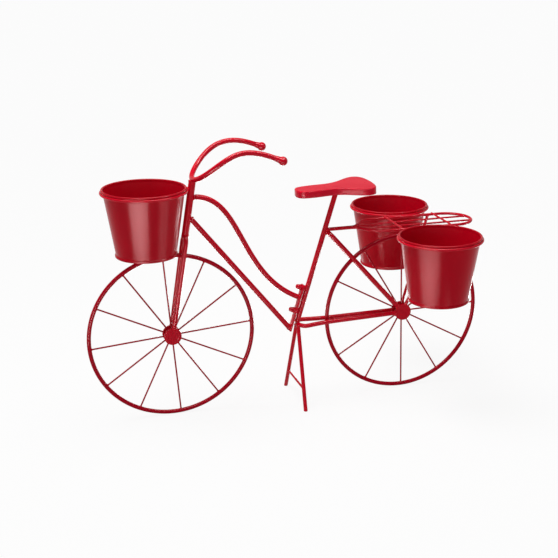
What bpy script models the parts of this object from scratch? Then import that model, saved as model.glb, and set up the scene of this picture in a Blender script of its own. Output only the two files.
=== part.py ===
# Bicycle planter: a welded wire-and-rod bicycle that carries three lift-out pots.
# Lengths are in metres and angles in radians. X runs from the front wheel to the rear one,
# Y across the bicycle, and Z up from the ground; the rider's left is -Y.
import math

import bmesh
import bpy
from mathutils import Matrix, Vector

# Gaps
GAP = 0.0003                        # left at every weld and every seat
AXLE_PLAY = 0.0001                  # running clearance round each axle
MERGE = 0.00001                     # points closer than this are one point

# Wheels
WHEEL_DIAMETER = 0.261
WHEEL_GAP = 0.117                   # between the two wheels, rim to rim
RIM_ROD = 0.0065
SPOKE_COUNT = 12
SPOKE_WIRE = 0.0025
FRONT_SPOKE_TURN = math.radians(4.6)
REAR_SPOKE_TURN = math.radians(1.1)
HUB_DISC_DIAMETER = 0.027
HUB_DISC_THICKNESS = 0.0025
HUB_DISC_SPACING = 0.0125           # between the two discs' inner faces
HUB_BARREL_DIAMETER = 0.014
AXLE_DIAMETER = 0.005
AXLE_SEAT_DEPTH = 0.0012            # how far the axle sits in each disc

# Steering column, fork and handlebar
HEAD_LEAN = math.radians(9.3)
COLUMN_DIAMETER = 0.011
FORK_ROD = 0.007
CROWN_ABOVE_WHEEL = 0.0275          # middle of the crown rod, along the fork
FORK_HALF_WIDTH = 0.012
BAR_ROD = 0.008
BAR_ABOVE_RING = 0.0135             # middle of the rod above the front pot's ring
BAR_HALF_WIDTH = 0.050
BAR_FLARE = 0.006                   # how much further out each end stands
BAR_REACH = 0.1115
BAR_LIFT = 0.0350                   # ends of the rod above its front bend
BAR_RISE_HANDLE = 0.0524
BAR_RISE_ANGLE = math.radians(43.8)
BAR_FALL_HANDLE = 0.060
BAR_FALL_ANGLE = math.radians(22.2)
GRIP_CONE_LENGTH = 0.0085
GRIP_CONE_DIAMETER = 0.0105
GRIP_BALL_DIAMETER = 0.0135

# Main frame
FRAME_ROD = 0.008
SEAT_LEAN = math.radians(17.1)
SEAT_TUBE_FOOT_X = 0.0126
CHAIN_STAY_ROD = 0.007
CHAIN_BEND_DROP = 0.0032            # front bend below the hubs
CHAIN_STAY_HALF_WIDTH = 0.0156
SEAT_STAY_ROD = 0.007
SEAT_STAY_BELOW_RACK = 0.0055       # top bend below the carrier's loop
SEAT_STAY_HALF_WIDTH = 0.009
TOP_TUBE_BELOW_BAR = 0.0275         # where it meets the column
TOP_TUBE_FRONT_HANDLE = 0.081
TOP_TUBE_FRONT_ANGLE = math.radians(3.0)
TOP_TUBE_REAR_HANDLE = 0.109
TOP_TUBE_REAR_ANGLE = math.radians(24.5)
DOWN_TUBE_ABOVE_CROWN = 0.0315      # where it meets the column, along the column

# Flat strip that joins the front half to the seat tube, with its two fasteners
STRIP_LENGTH = 0.0775
STRIP_WIDTH = 0.012
STRIP_THICKNESS = 0.003
STRIP_FOOT = -0.0175                # its lower end, along the seat tube from that tube's foot
SPACER_LENGTH = 0.002
SPACER_DIAMETER = 0.009
STUD_DIAMETER = 0.005
STUD_STATIONS = (0.0170, 0.0553)    # along the seat tube from its foot
TOP_TUBE_STATION = 0.0390
DOWN_TUBE_STATION = -0.0130
NUT_ACROSS_FLATS = 0.008
NUT_HEX_HEIGHT = 0.0042
NUT_HEIGHT = 0.010
NUT_DOME_DIAMETER = 0.0075
NUT_BORE_DEPTH = 0.0062

# Saddle
SADDLE_NOSE_X = 0.0098
SADDLE_LENGTH = 0.123
SADDLE_HALF_WIDTH = 0.0435
SADDLE_ABOVE_RACK = 0.0667          # top face at the nose
SADDLE_TILT = math.radians(2.3)
SADDLE_SKIRT = 0.0107
SADDLE_SHEET = 0.0015
SADDLE_EDGE = 0.002

# Kickstand
KICK_ROD = 0.0062
KICK_FOOT_X = 0.0092
KICK_HALF_SPREAD = 0.0545
KICK_WIRE = 0.0036
KICK_WIRE_HEIGHT = 0.0320

# Carrier behind the saddle
RACK_ABOVE_WHEEL = 0.0163           # middle of the loop's rod above the rear wheel
RACK_ROD = 0.0045
RACK_HALF_WIDTH = 0.0365
RACK_NECK_END_X = 0.102
RACK_FULL_WIDTH_X = 0.147
RACK_TIP_BEHIND_HUB = 0.1155
RACK_WIRE = 0.003
RACK_WIRE_FRONT_X = 0.110           # where they leave the loop
RACK_WIRE_REAR_Y = 0.0125
RACK_WIRE_DROP = 0.0008             # lengthwise wires below the loop's middle
RACK_CROSS_BEHIND_HUB = (-0.017, 0.064)
STRUT_TOP_BEHIND_HUB = 0.0572

# Pots and the rings that hold them
POT_RIM_DIAMETER = 0.127
POT_BEAD = 0.0035
POT_HEIGHT = 0.1026                 # top of the bead to the bottom seam
POT_SHEET = 0.001
POT_NECK_CLEARANCE = 0.0011         # wall inside the ring
POT_FOOT_DIAMETER = 0.0912
POT_SEAM_STEP = 0.0012              # seam proud of the wall
POT_SEAM_HEIGHT = 0.003
POT_LIP = 0.0026                    # turned in under the base disc
POT_BASE_SHEET = 0.001
RING_ROD = 0.004
POT_ABOVE_WHEEL = 0.0006            # foot of the front pot above the front wheel
RING_ABOVE_RACK = 0.0007            # rear pots' rings above the carrier's loop
REAR_POT_BEHIND_HUB = 0.0171

PAINT_RED = (0.43, 0.0, 0.008, 1.0)
PAINT_ROUGHNESS = 0.32
SHARP_ANGLE = math.radians(40)

# Unit directions
ACROSS = Vector((0, 1, 0))
UP = Vector((0, 0, 1))
STEER = Vector((math.sin(HEAD_LEAN), 0, math.cos(HEAD_LEAN)))
SEAT = Vector((math.sin(SEAT_LEAN), 0, math.cos(SEAT_LEAN)))
SEAT_FRONT = Vector((-math.cos(SEAT_LEAN), 0, math.sin(SEAT_LEAN)))

# Wheels, and heights that follow them
WHEEL_RADIUS = WHEEL_DIAMETER / 2
RIM_RADIUS = WHEEL_RADIUS - RIM_ROD / 2
HUB_X = (WHEEL_DIAMETER + WHEEL_GAP) / 2
FRONT_HUB = Vector((-HUB_X, 0, WHEEL_RADIUS))
REAR_HUB = Vector((HUB_X, 0, WHEEL_RADIUS))
WHEELS = (("front", FRONT_HUB, FRONT_SPOKE_TURN), ("rear", REAR_HUB, REAR_SPOKE_TURN))
DISC_MIDDLE_Y = (HUB_DISC_SPACING + HUB_DISC_THICKNESS) / 2
DISC_FACE_Y = HUB_DISC_SPACING / 2 + HUB_DISC_THICKNESS
FORK_LENGTH = WHEEL_RADIUS + CROWN_ABOVE_WHEEL
RACK_HEIGHT = WHEEL_DIAMETER + RACK_ABOVE_WHEEL

# Pots and rings: the bead's outer edge stands over the middle of the ring's rod
RING_DIAMETER = POT_RIM_DIAMETER
RING_OUTER_RADIUS = (RING_DIAMETER + RING_ROD) / 2
RING_TO_RACK = (RACK_ROD + RING_ROD) / 2 + GAP
RING_BESIDE_RACK = math.sqrt(RING_TO_RACK ** 2 - RING_ABOVE_RACK ** 2)
POT_DROP = POT_HEIGHT - POT_BEAD / 2
BEAD_TO_RING = (POT_BEAD + RING_ROD) / 2 + GAP
BEAD_LIFT = math.sqrt(BEAD_TO_RING ** 2 - (POT_BEAD / 2) ** 2)
FRONT_RING_HEIGHT = WHEEL_DIAMETER + POT_ABOVE_WHEEL + POT_DROP - BEAD_LIFT
REAR_RING_HEIGHT = RACK_HEIGHT + RING_ABOVE_RACK
REAR_POT_X = REAR_HUB.x + REAR_POT_BEHIND_HUB
REAR_POT_Y = RACK_HALF_WIDTH + RING_BESIDE_RACK + RING_DIAMETER / 2

# Frame
BAR_STATION = (FRONT_RING_HEIGHT + BAR_ABOVE_RING - FRONT_HUB.z) / STEER.z
BAR_MIDDLE = FRONT_HUB + BAR_STATION * STEER
CHAIN_BEND = Vector((SEAT_TUBE_FOOT_X, 0, WHEEL_RADIUS - CHAIN_BEND_DROP))
SEAT_FOOT = CHAIN_BEND + (CHAIN_STAY_ROD / 2 + GAP) * UP
STRIP_MIDDLE_OFF = FRAME_ROD / 2 + SPACER_LENGTH + 2 * GAP + STRIP_THICKNESS / 2
STRIP_FACE_OFF = STRIP_MIDDLE_OFF + STRIP_THICKNESS / 2
SADDLE_NOSE = Vector((SADDLE_NOSE_X, 0, RACK_HEIGHT + SADDLE_ABOVE_RACK))
SADDLE_NORMAL = Vector((-math.sin(SADDLE_TILT), 0, math.cos(SADDLE_TILT)))

# How round each kind of piece is
TUBE_SIDES = 12
ROD_SIDES = 10
WIRE_SIDES = 8
BEND_STEPS = 8
BEAD_STEPS = 7
RIM_STEPS = 56
RING_STEPS = 36
POT_STEPS = 32
DISC_STEPS = 32
ROUND_STEPS = 16
OVERRUN = 0.004                     # how far a cutter runs past what it cuts


def clear_scene():
    for old in list(bpy.data.objects):
        bpy.data.objects.remove(old, do_unlink=True)


def new_collection(name):
    group = bpy.data.collections.new(name)
    bpy.context.scene.collection.children.link(group)
    return group


def paint(solid):
    skin = bpy.data.materials.new(solid.name + "_paint")
    skin.use_nodes = True
    shader = skin.node_tree.nodes["Principled BSDF"]
    shader.inputs["Base Color"].default_value = PAINT_RED
    shader.inputs["Roughness"].default_value = PAINT_ROUGHNESS
    shader.inputs["Metallic"].default_value = 0.0
    solid.data.materials.clear()
    solid.data.materials.append(skin)


def add_piece(name, mesh, place=(0, 0, 0)):
    solid = bpy.data.objects.new(name, mesh)
    solid.location = place
    pieces.objects.link(solid)
    mesh.shade_smooth()
    mesh.set_sharp_from_angle(angle=SHARP_ANGLE)
    paint(solid)
    return solid


def make_cutter(solid):
    pieces.objects.unlink(solid)
    cutters.objects.link(solid)
    solid.hide_render = True
    solid.display_type = "WIRE"
    return solid


def boolean(solid, other, operation):
    change = solid.modifiers.new(other.name, "BOOLEAN")
    change.operation = operation
    change.solver = "EXACT"
    change.object = other


def cut(solid, *others):
    for other in others:
        boolean(solid, other, "DIFFERENCE")


# Paths

def bezier(start, lead_out, lead_in, end, steps):
    points = []
    for step in range(steps + 1):
        t = step / steps
        s = 1 - t
        points.append(s ** 3 * start + 3 * s * s * t * lead_out + 3 * s * t * t * lead_in + t ** 3 * end)
    return points


def smooth_through(knots, steps):
    """Points on a smooth curve that passes through every knot."""
    ends = [2 * knots[0] - knots[1]] + knots + [2 * knots[-1] - knots[-2]]
    points = []
    for a, b, c, d in zip(ends, ends[1:], ends[2:], ends[3:]):
        for step in range(steps):
            t = step / steps
            points.append(((2 * b) + (c - a) * t + (2 * a - 5 * b + 4 * c - d) * t ** 2
                           + (3 * b - a - 3 * c + d) * t ** 3) / 2)
    return points + [knots[-1]]


def mirrored(half):
    """A path from the far side round to the near side, from the half at +Y that ends at Y = 0."""
    return half + [Vector((p.x, -p.y, p.z)) for p in reversed(half[:-1])]


def u_bend(base, along, length, foot_half, crown_half):
    """A U of rod: two legs that start beside base and a half-round crown at the given length."""
    crown_centre = base + (length - crown_half) * along
    half = [base + foot_half * ACROSS]
    for step in range(BEND_STEPS + 1):
        turn = math.pi / 2 * step / BEND_STEPS
        half.append(crown_centre + crown_half * (math.cos(turn) * ACROSS + math.sin(turn) * along))
    return mirrored(half)


def point_at(path, x):
    """The point of a path that runs towards +X, at the given X."""
    for a, b in zip(path, path[1:]):
        if a.x <= x <= b.x:
            return a.lerp(b, (x - a.x) / (b.x - a.x))
    return path[-1]


# Solids

def rod(name, points, diameter, sides=ROD_SIDES):
    """A rod bent along the points, as a closed mesh whose origin is its first point."""
    curve = bpy.data.curves.new(name, "CURVE")
    curve.dimensions = "3D"
    curve.bevel_depth = diameter / 2
    curve.bevel_resolution = sides // 2 - 2
    curve.use_fill_caps = True
    spline = curve.splines.new("POLY")
    spline.points.add(len(points) - 1)
    for knot, point in zip(spline.points, points):
        knot.co = (*(point - points[0]), 1)
    bent = bpy.data.objects.new(name, curve)
    pieces.objects.link(bent)
    graph = bpy.context.evaluated_depsgraph_get()
    mesh = bpy.data.meshes.new_from_object(bent.evaluated_get(graph))
    bpy.data.objects.remove(bent)
    bpy.data.curves.remove(curve)
    bm = bmesh.new()
    bm.from_mesh(mesh)
    bmesh.ops.remove_doubles(bm, verts=bm.verts, dist=MERGE)
    bm.to_mesh(mesh)
    bm.free()
    return add_piece(name, mesh, points[0])


def rod_cutter(name, points, diameter, sides=ROD_SIDES):
    """The room that a rod needs, with the gap round it."""
    return make_cutter(rod(name + "_room", points, diameter + 2 * GAP, sides))


def trim(solid, place, outward):
    """Saw off what lies beyond a plane, and close the end."""
    bm = bmesh.new()
    bm.from_mesh(solid.data)
    bmesh.ops.bisect_plane(bm, geom=bm.verts[:] + bm.edges[:] + bm.faces[:], dist=MERGE / 10,
                           plane_co=place - solid.location, plane_no=outward, clear_outer=True)
    bmesh.ops.holes_fill(bm, edges=[e for e in bm.edges if e.is_boundary], sides=0)
    bm.to_mesh(solid.data)
    bm.free()


def cylinder(name, start, end, diameter, steps=ROUND_STEPS):
    span = end - start
    bm = bmesh.new()
    bmesh.ops.create_cone(bm, cap_ends=True, segments=steps, radius1=diameter / 2, radius2=diameter / 2,
                          depth=span.length)
    mesh = bpy.data.meshes.new(name)
    bm.to_mesh(mesh)
    bm.free()
    solid = add_piece(name, mesh, (start + end) / 2)
    solid.rotation_euler = span.to_track_quat("Z", "Y").to_euler()
    return solid


def turned(name, profile, place, along, steps):
    """A solid turned about an axis; the profile holds (radius, height) pairs down the outer side."""
    closed = profile[0] != profile[-1] and profile[0][0] > 0
    count = len(profile)
    mesh = bpy.data.meshes.new(name)
    edges = [(n, n + 1) for n in range(count - 1)]
    if closed:
        edges.append((count - 1, 0))
    mesh.from_pydata([(radius, 0, height) for radius, height in profile], edges, [])
    solid = add_piece(name, mesh, place)
    solid.rotation_euler = along.to_track_quat("Z", "Y").to_euler()
    spin = solid.modifiers.new("turn", "SCREW")
    spin.steps = steps
    spin.render_steps = steps
    spin.use_merge_vertices = True
    spin.merge_threshold = MERGE
    return solid


def ring(name, middle, diameter, wire, steps, upright=False):
    bpy.ops.mesh.primitive_torus_add(major_segments=steps, minor_segments=WIRE_SIDES,
                                     major_radius=diameter / 2, minor_radius=wire / 2)
    made = bpy.context.object
    mesh = made.data
    bpy.data.objects.remove(made)
    solid = add_piece(name, mesh, middle)
    if upright:
        solid.rotation_euler = (math.pi / 2, 0, 0)
    return solid


def box(name, size, place, turn_about_y):
    bm = bmesh.new()
    bmesh.ops.create_cube(bm, size=1)
    bmesh.ops.transform(bm, matrix=Matrix.Diagonal((*size, 1)), verts=bm.verts)
    mesh = bpy.data.meshes.new(name)
    bm.to_mesh(mesh)
    bm.free()
    solid = add_piece(name, mesh, place)
    solid.rotation_euler = (0, turn_about_y, 0)
    return solid


def pivot(name, place, *moving):
    """An empty on a joint's axis that carries the pieces of one moving body."""
    empty = bpy.data.objects.new(name, None)
    empty.location = place
    pieces.objects.link(empty)
    for solid in moving:
        solid.parent = empty
        solid.location = solid.location - empty.location


# Wheels

def hub_hardware(end_name, hub):
    """Two coin-shaped discs with the axle that is welded between them."""
    seat_y = HUB_DISC_SPACING / 2 + AXLE_SEAT_DEPTH
    tip = (seat_y - GAP) * ACROSS
    cylinder(end_name + "_axle", hub - tip, hub + tip, AXLE_DIAMETER)
    seat = seat_y * ACROSS
    pocket = make_cutter(cylinder(end_name + "_axle_pocket", hub - seat, hub + seat, AXLE_DIAMETER + 2 * GAP))
    for side_name, side in (("left", -1), ("right", 1)):
        inner = side * HUB_DISC_SPACING / 2 * ACROSS
        outer = side * DISC_FACE_Y * ACROSS
        disc = cylinder(f"{end_name}_hub_disc_{side_name}", hub + inner, hub + outer,
                        HUB_DISC_DIAMETER, DISC_STEPS)
        cut(disc, pocket)


def hub_room(end_name, hub, widest_rod):
    """The cutter that shapes rod ends to the round edge of the discs."""
    reach = (DISC_FACE_Y + widest_rod + OVERRUN) * ACROSS
    return make_cutter(cylinder(end_name + "_disc_room", hub - reach, hub + reach,
                                HUB_DISC_DIAMETER + 2 * GAP, DISC_STEPS))


def wheel(end_name, hub, spoke_turn):
    rim = ring(end_name + "_rim", hub, 2 * RIM_RADIUS, RIM_ROD, RIM_STEPS, upright=True)
    barrel_half = HUB_DISC_SPACING / 2 - GAP
    bore = AXLE_DIAMETER / 2 + AXLE_PLAY
    outer = HUB_BARREL_DIAMETER / 2
    barrel = turned(end_name + "_spokes",
                    [(outer, barrel_half), (outer, -barrel_half), (bore, -barrel_half), (bore, barrel_half)],
                    hub, ACROSS, ROUND_STEPS)
    rim_inside = (RIM_RADIUS - RIM_ROD / 2) * math.cos(math.pi / RIM_STEPS)
    spoke_start = (outer + bore) / 2 + SPOKE_WIRE / 2
    spoke_end = rim_inside - GAP
    for number in range(SPOKE_COUNT):
        turn = spoke_turn + 2 * math.pi * number / SPOKE_COUNT
        ray = Vector((math.cos(turn), 0, math.sin(turn)))
        spoke = rod(f"{end_name}_spoke_{number + 1}", [hub + spoke_start * ray, hub + spoke_end * ray],
                    SPOKE_WIRE, WIRE_SIDES)
        boolean(barrel, make_cutter(spoke), "UNION")
    pivot(end_name + "_wheel_pivot", hub, rim, barrel)


# Steering column, fork and handlebar

def steering():
    crown = FRONT_HUB + FORK_LENGTH * STEER
    column_foot = crown + (FORK_ROD / 2 + GAP) * STEER
    column_top = BAR_MIDDLE - (BAR_ROD / 2 + GAP) * STEER
    cylinder("steering_column", column_foot, column_top, COLUMN_DIAMETER)
    base = FRONT_HUB + HUB_DISC_DIAMETER / 4 * STEER
    fork = rod("fork", u_bend(base, STEER, FORK_LENGTH - HUB_DISC_DIAMETER / 4, DISC_FACE_Y, FORK_HALF_WIDTH),
               FORK_ROD)
    cut(fork, hub_room("front", FRONT_HUB, FORK_ROD))

    end = BAR_MIDDLE + BAR_REACH * Vector((1, 0, 0)) + BAR_LIFT * UP
    rise = Vector((math.cos(BAR_RISE_ANGLE), 0, math.sin(BAR_RISE_ANGLE)))
    fall = Vector((-math.cos(BAR_FALL_ANGLE), 0, math.sin(BAR_FALL_ANGLE)))
    profile = bezier(BAR_MIDDLE, BAR_MIDDLE + BAR_RISE_HANDLE * rise, end + BAR_FALL_HANDLE * fall, end,
                     4 * BEND_STEPS)
    half = []
    for step in range(BEND_STEPS):
        turn = math.pi / 2 * step / BEND_STEPS
        x = BAR_MIDDLE.x + BAR_HALF_WIDTH * (1 - math.cos(turn))
        half.append(Vector((x, BAR_HALF_WIDTH * math.sin(turn), point_at(profile, x).z)))
    straight = BAR_REACH - BAR_HALF_WIDTH
    for step in range(BEND_STEPS + 1):
        share = step / BEND_STEPS
        x = BAR_MIDDLE.x + BAR_HALF_WIDTH + share * straight
        half.append(Vector((x, BAR_HALF_WIDTH + BAR_FLARE * share ** 2, point_at(profile, x).z)))
    half.reverse()
    rod("handlebar", mirrored(half), BAR_ROD)

    heading = (half[0] - half[1]).normalized()
    for side_name, side in (("right", 1), ("left", -1)):
        tip = Vector((half[0].x, side * half[0].y, half[0].z))
        along = Vector((heading.x, side * heading.y, heading.z))
        turned("grip_" + side_name, grip_profile(), tip + GAP * along, along, ROUND_STEPS)


def grip_profile():
    """A short cone on the rod's end with a ball on it, from the ball's tip back to the rod."""
    ball = GRIP_BALL_DIAMETER / 2
    neck = GRIP_CONE_DIAMETER / 2
    middle = GRIP_CONE_LENGTH + math.sqrt(ball ** 2 - neck ** 2)
    last = math.pi - math.asin(neck / ball)
    points = [(0, middle + ball)]
    for step in range(1, BEND_STEPS + 1):
        turn = last * step / BEND_STEPS
        points.append((ball * math.sin(turn), middle + ball * math.cos(turn)))
    return points + [(BAR_ROD / 2, 0), (0, 0)]


# Main frame

def main_frame():
    column_room = rod_cutter("column", [FRONT_HUB, BAR_MIDDLE], COLUMN_DIAMETER, TUBE_SIDES)

    def on_strip(station):
        return SEAT_FOOT + station * SEAT + STRIP_FACE_OFF * SEAT_FRONT

    start = BAR_MIDDLE - TOP_TUBE_BELOW_BAR / STEER.z * STEER
    end = on_strip(TOP_TUBE_STATION)
    lead_out = Vector((math.cos(TOP_TUBE_FRONT_ANGLE), 0, math.sin(TOP_TUBE_FRONT_ANGLE)))
    lead_in = Vector((-math.cos(TOP_TUBE_REAR_ANGLE), 0, math.sin(TOP_TUBE_REAR_ANGLE)))
    path = bezier(start, start + TOP_TUBE_FRONT_HANDLE * lead_out, end + TOP_TUBE_REAR_HANDLE * lead_in, end,
                  2 * BEND_STEPS)
    top_tube = rod("top_tube", path + [end - OVERRUN * lead_in], FRAME_ROD)
    cut(top_tube, column_room)
    trim(top_tube, end + GAP * SEAT_FRONT, -SEAT_FRONT)

    start = FRONT_HUB + (FORK_LENGTH + DOWN_TUBE_ABOVE_CROWN) * STEER
    end = on_strip(DOWN_TUBE_STATION)
    slope = (end - start).normalized()
    down_tube = rod("down_tube", [start, end + OVERRUN * slope], FRAME_ROD, TUBE_SIDES)
    cut(down_tube, column_room)
    trim(down_tube, end + GAP * SEAT_FRONT, -SEAT_FRONT)

    under_saddle = SADDLE_NOSE - (SADDLE_SHEET + GAP) * SADDLE_NORMAL
    reach = (under_saddle - SEAT_FOOT).dot(SADDLE_NORMAL) / SEAT.dot(SADDLE_NORMAL)
    ends = [SEAT_FOOT - OVERRUN * SEAT, SEAT_FOOT + (reach + OVERRUN) * SEAT]
    seat_tube = rod("seat_tube", ends, FRAME_ROD, TUBE_SIDES)
    trim(seat_tube, SEAT_FOOT, -UP)
    trim(seat_tube, under_saddle, SADDLE_NORMAL)


def joining_strip():
    turn = SEAT_LEAN - math.pi / 2
    middle = SEAT_FOOT + (STRIP_FOOT + STRIP_LENGTH / 2) * SEAT + STRIP_MIDDLE_OFF * SEAT_FRONT
    strip = box("joining_strip", (STRIP_LENGTH, STRIP_WIDTH, STRIP_THICKNESS), middle, turn)
    bore = STUD_DIAMETER / 2 + GAP
    spacer_back = FRAME_ROD / 2 + GAP
    spacer_front = spacer_back + SPACER_LENGTH
    nut_back = STRIP_FACE_OFF + GAP
    stud_end = nut_back + NUT_BORE_DEPTH - GAP
    for station, level in zip(STUD_STATIONS, ("lower", "upper")):
        foot = SEAT_FOOT + station * SEAT
        stud_foot = foot + spacer_back * SEAT_FRONT
        stud_tip = foot + stud_end * SEAT_FRONT
        cylinder(level + "_stud", stud_foot, stud_tip, STUD_DIAMETER)
        hole = cylinder(level + "_strip_hole", stud_foot, stud_tip, 2 * bore)
        cut(strip, make_cutter(hole))
        outer = SPACER_DIAMETER / 2
        turned(level + "_spacer",
               [(outer, spacer_front), (outer, spacer_back), (bore, spacer_back), (bore, spacer_front)],
               foot, SEAT_FRONT, ROUND_STEPS)
        cap_nut(level + "_cap_nut", foot + nut_back * SEAT_FRONT, bore)


def cap_nut(name, seat, bore):
    dome = NUT_DOME_DIAMETER / 2
    corner = NUT_ACROSS_FLATS / math.cos(math.pi / 6)
    nut = cylinder(name, seat, seat + NUT_HEX_HEIGHT * SEAT_FRONT, corner, 6)
    profile = [(0, NUT_HEIGHT)]
    for step in range(1, BEND_STEPS // 2 + 1):
        turn = math.pi / 2 * step / (BEND_STEPS // 2)
        profile.append((dome * math.sin(turn), NUT_HEIGHT - dome + dome * math.cos(turn)))
    profile += [(dome, NUT_HEX_HEIGHT / 2), (0, NUT_HEX_HEIGHT / 2)]
    boolean(nut, make_cutter(turned(name + "_dome", profile, seat, SEAT_FRONT, ROUND_STEPS)), "UNION")
    bore_end = seat + NUT_BORE_DEPTH * SEAT_FRONT
    thread = cylinder(name + "_bore", seat - OVERRUN * SEAT_FRONT, bore_end, 2 * bore)
    cut(nut, make_cutter(thread))


def stays():
    rear_room = hub_room("rear", REAR_HUB, CHAIN_STAY_ROD)
    inside_disc = HUB_DISC_DIAMETER / 4

    # Share of the way back from the front bend, and share of the half width there.
    bend_shares = ((0, 0), (0.011, 0.54), (0.040, 0.95), (0.075, 1.0), (0.14, 0.86), (0.27, 0.66),
                   (0.55, 0.56))
    back = REAR_HUB - CHAIN_BEND
    half = []
    for length_share, width_share in bend_shares:
        half.append(CHAIN_BEND + length_share * back + width_share * CHAIN_STAY_HALF_WIDTH * ACROSS)
    half.append(REAR_HUB - inside_disc * back.normalized() + DISC_MIDDLE_Y * ACROSS)
    # The bend's two sides are one curve, so the rod crosses Y = 0 square to the bicycle.
    path = smooth_through(mirrored(list(reversed(half))), 2)
    chain_stays = rod("chain_stays", path, CHAIN_STAY_ROD)
    cut(chain_stays, rear_room)

    beside_tube = FRAME_ROD / 2 + SEAT_STAY_ROD / 2 + GAP
    bend_z = RACK_HEIGHT - SEAT_STAY_BELOW_RACK
    station = (bend_z + beside_tube * SEAT_FRONT.z - SEAT_FOOT.z) / SEAT.z
    crown = SEAT_FOOT + station * SEAT - beside_tube * SEAT_FRONT
    rise = crown - REAR_HUB
    along = rise.normalized()
    seat_stays = rod("seat_stays", u_bend(REAR_HUB + inside_disc * along, along, rise.length - inside_disc,
                                          DISC_MIDDLE_Y, SEAT_STAY_HALF_WIDTH), SEAT_STAY_ROD)
    cut(seat_stays, rear_room)
    return rod_cutter("chain_stays", path, CHAIN_STAY_ROD), rear_room


def kickstand(chain_room):
    rooms = []
    ends = []
    for side_name, side in (("left", -1), ("right", 1)):
        foot = Vector((KICK_FOOT_X, side * KICK_HALF_SPREAD, 0))
        slant = math.atan2(KICK_HALF_SPREAD, CHAIN_BEND.z)
        top = CHAIN_BEND + side * (KICK_ROD / 2 / math.cos(slant) + GAP) * ACROSS
        down = (foot - top).normalized()
        start = top + CHAIN_STAY_ROD / 4 * down
        leg = rod("kickstand_leg_" + side_name, [start, foot + KICK_ROD * down], KICK_ROD)
        trim(leg, foot, -UP)
        cut(leg, chain_room)
        rooms.append(rod_cutter("kickstand_leg_" + side_name, [top, foot], KICK_ROD))
        ends.append(foot + KICK_WIRE_HEIGHT / top.z * (top - foot))
    wire = rod("kickstand_cross_wire", ends, KICK_WIRE, WIRE_SIDES)
    cut(wire, *rooms)


# Saddle

def saddle():
    # Share of the length from the nose, and share of the half width there.
    outline_shares = ((0, 0), (0.012, 0.22), (0.055, 0.37), (0.13, 0.43), (0.25, 0.45), (0.40, 0.43),
                      (0.50, 0.46), (0.60, 0.58), (0.70, 0.78), (0.79, 0.95), (0.87, 1.0), (0.945, 0.88),
                      (0.985, 0.58), (1.0, 0))
    half = [Vector((SADDLE_LENGTH * length_share, SADDLE_HALF_WIDTH * width_share, 0))
            for length_share, width_share in outline_shares]
    around = half[1:-1] + [half[-1]] + [Vector((p.x, -p.y, 0)) for p in reversed(half[1:-1])] + [half[0]]
    looped = smooth_through(around[-2:] + around + around[:2], 2)
    outline = looped[4:-5]
    bm = bmesh.new()
    top = bm.faces.new([bm.verts.new(p) for p in outline])
    top.normal_update()
    if top.normal.z < 0:
        top.normal_flip()
    walls = bmesh.ops.extrude_edge_only(bm, edges=bm.edges[:])
    lower = [part for part in walls["geom"] if isinstance(part, bmesh.types.BMVert)]
    bmesh.ops.translate(bm, verts=lower, vec=-SADDLE_SKIRT * UP)
    bmesh.ops.recalc_face_normals(bm, faces=bm.faces)
    top.normal_update()
    if top.normal.z < 0:
        bmesh.ops.reverse_faces(bm, faces=bm.faces)
    rim = [e for e in bm.edges if all(abs(v.co.z) < MERGE for v in e.verts)]
    bmesh.ops.bevel(bm, geom=rim, offset=SADDLE_EDGE, segments=2, profile=0.5, affect="EDGES")
    mesh = bpy.data.meshes.new("saddle")
    bm.to_mesh(mesh)
    bm.free()
    solid = add_piece("saddle", mesh, SADDLE_NOSE)
    solid.rotation_euler = (0, -SADDLE_TILT, 0)
    sheet = solid.modifiers.new("sheet", "SOLIDIFY")
    sheet.thickness = SADDLE_SHEET
    sheet.offset = -1
    sheet.use_even_offset = True


# Carrier

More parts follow.
